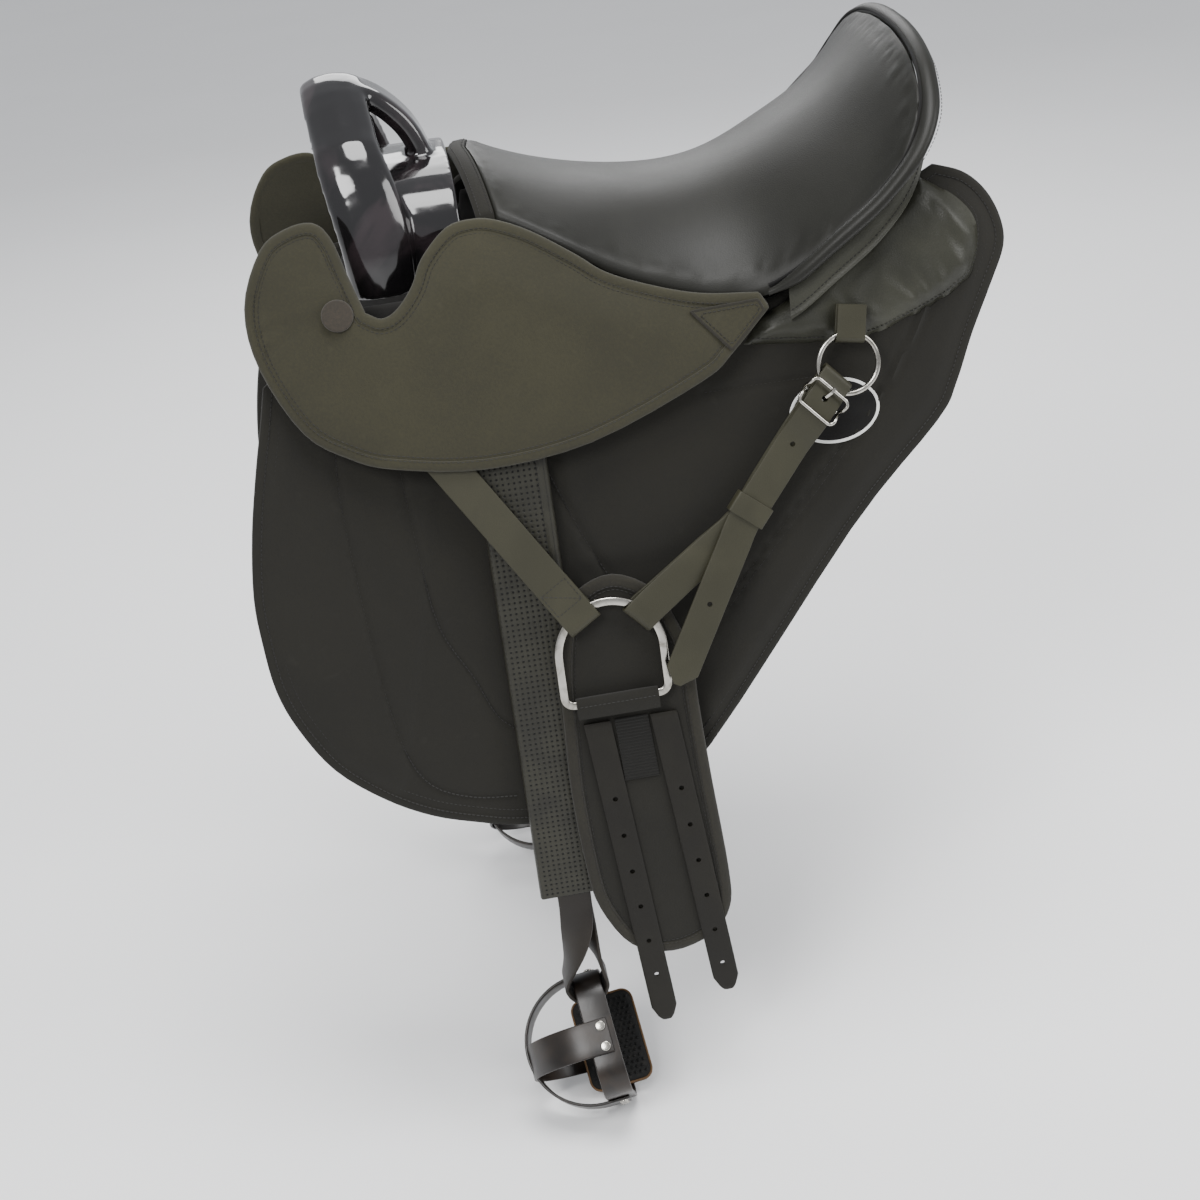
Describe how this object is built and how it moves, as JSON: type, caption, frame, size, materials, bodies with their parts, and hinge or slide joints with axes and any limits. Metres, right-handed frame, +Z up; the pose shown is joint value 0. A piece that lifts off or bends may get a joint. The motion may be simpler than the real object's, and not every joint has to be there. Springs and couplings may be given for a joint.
{
  "type": "trail saddle",
  "caption": "Trail saddle with a moulded pommel handle, deep padded seat, soft flaps, ring rigging with girth straps, and caged stirrups.",
  "frame": {"origin": "on the centre plane, under the pommel arch, at the height where the saddle rests on a horse's back or a rack", "axes": "+Z up, +X towards the rear, +Y to the far (right) side, so the near side of the picture faces -Y"},
  "size_m": [0.7124, 0.6274, 1.003],
  "materials": {
    "leather": "smooth, dull shine",
    "padded_cloth": "brushed, matt",
    "cloth": "woven, matt",
    "moulded_plastic": "glossy",
    "tree_shell": "matt",
    "nickel": "polished plating"
  },
  "bodies": {
    "saddle": {"tree": "tree_shell", "seat": "leather", "seat_front_band": "cloth", "cantle_roll": "leather", "cantle_band": "cloth", "pommel_handle": "moulded_plastic", "panel_left": "padded_cloth", "lower_flap_left": "padded_cloth", "rear_panel_cover_left": "leather", "ring_pad_left": "padded_cloth", "rear_strap_left": "leather", "strap_buckle_left": "nickel", "girth_ring_left": "nickel", "rear_ring_left": "nickel", "ring_tab_left": "leather", "front_strap_left": "leather", "bar_loop_left": "leather", "stirrup_bar_left": "nickel", "panel_right": "padded_cloth", "lower_flap_right": "padded_cloth", "rear_panel_cover_right": "leather", "ring_pad_right": "padded_cloth", "rear_strap_right": "leather", "strap_buckle_right": "nickel", "girth_ring_right": "nickel", "rear_ring_right": "nickel", "ring_tab_right": "leather", "front_strap_right": "leather", "bar_loop_right": "leather", "stirrup_bar_right": "nickel"},
    "flap_left": {"upper_flap_left": "padded_cloth", "flap_gusset_left": "cloth", "flap_button_left": "leather"},
    "tongue_left": {"buckle_tongue_left": "nickel"},
    "keeper_left": {"strap_keeper_left": "leather"},
    "girth_straps_left": {"billet_pad_left": "padded_cloth", "billet_front_left": "leather", "billet_rear_left": "leather", "elastic_web_left": "cloth"},
    "hanging_leather_left": {"stirrup_leather_left": "leather", "leather_sleeve_left": "leather"},
    "stirrup_left": {"stirrup_frame_left": "moulded_plastic", "stirrup_tread_left": "moulded_plastic", "toe_cage_left": "moulded_plastic"},
    "flap_right": {"upper_flap_right": "padded_cloth", "flap_gusset_right": "cloth", "flap_button_right": "leather"},
    "tongue_right": {"buckle_tongue_right": "nickel"},
    "keeper_right": {"strap_keeper_right": "leather"},
    "girth_straps_right": {"billet_pad_right": "padded_cloth", "billet_front_right": "leather", "billet_rear_right": "leather", "elastic_web_right": "cloth"},
    "hanging_leather_right": {"stirrup_leather_right": "leather", "leather_sleeve_right": "leather"},
    "stirrup_right": {"stirrup_frame_right": "moulded_plastic", "stirrup_tread_right": "moulded_plastic", "toe_cage_right": "moulded_plastic"}
  },
  "joints": [
    {"name": "flap_lift_left", "type": "hinge", "parent": "saddle", "child": "flap_left", "pos_m": [-0.131, -0.13222, 0.06803], "axis": [-0.9263, 0.1505, 0.3453], "range_deg": [0, 60]},
    {"name": "tongue_swing_left", "type": "hinge", "parent": "saddle", "child": "tongue_left", "pos_m": [0.15127, -0.20114, -0.12252], "axis": [0.6761, -0.1329, -0.7247], "range_deg": [0, 55]},
    {"name": "keeper_slide_left", "type": "slide", "parent": "saddle", "child": "keeper_left", "axis": [0.6382, 0.1634, 0.7523], "range_m": [0, 0.05]},
    {"name": "girth_straps_swing_left", "type": "hinge", "parent": "saddle", "child": "girth_straps_left", "pos_m": [-0.064, -0.23753, -0.38402], "axis": [-1, 0, 0], "range_deg": [0, 80]},
    {"name": "leather_swing_left", "type": "hinge", "parent": "saddle", "child": "hanging_leather_left", "pos_m": [-0.128, -0.16929, -0.07003], "axis": [0, 1, 0], "range_deg": [-1, 15]},
    {"name": "stirrup_swing_left", "type": "hinge", "parent": "hanging_leather_left", "child": "stirrup_left", "pos_m": [-0.128, -0.23886, -0.672], "axis": [0, 1, 0], "range_deg": [-20, 20]},
    {"name": "flap_lift_right", "type": "hinge", "parent": "saddle", "child": "flap_right", "pos_m": [-0.131, 0.13222, 0.06803], "axis": [0.9263, 0.1505, -0.3453], "range_deg": [0, 60]},
    {"name": "tongue_swing_right", "type": "hinge", "parent": "saddle", "child": "tongue_right", "pos_m": [0.15127, 0.20114, -0.12252], "axis": [-0.6761, -0.1329, 0.7247], "range_deg": [0, 55]},
    {"name": "keeper_slide_right", "type": "slide", "parent": "saddle", "child": "keeper_right", "axis": [0.6382, -0.1634, 0.7523], "range_m": [0, 0.05]},
    {"name": "girth_straps_swing_right", "type": "hinge", "parent": "saddle", "child": "girth_straps_right", "pos_m": [-0.064, 0.23753, -0.38402], "axis": [1, 0, 0], "range_deg": [0, 80]},
    {"name": "leather_swing_right", "type": "hinge", "parent": "saddle", "child": "hanging_leather_right", "pos_m": [-0.128, 0.16929, -0.07003], "axis": [0, 1, 0], "range_deg": [-1, 15]},
    {"name": "stirrup_swing_right", "type": "hinge", "parent": "hanging_leather_right", "child": "stirrup_right", "pos_m": [-0.128, 0.23886, -0.672], "axis": [0, 1, 0], "range_deg": [-20, 20]}
  ]
}
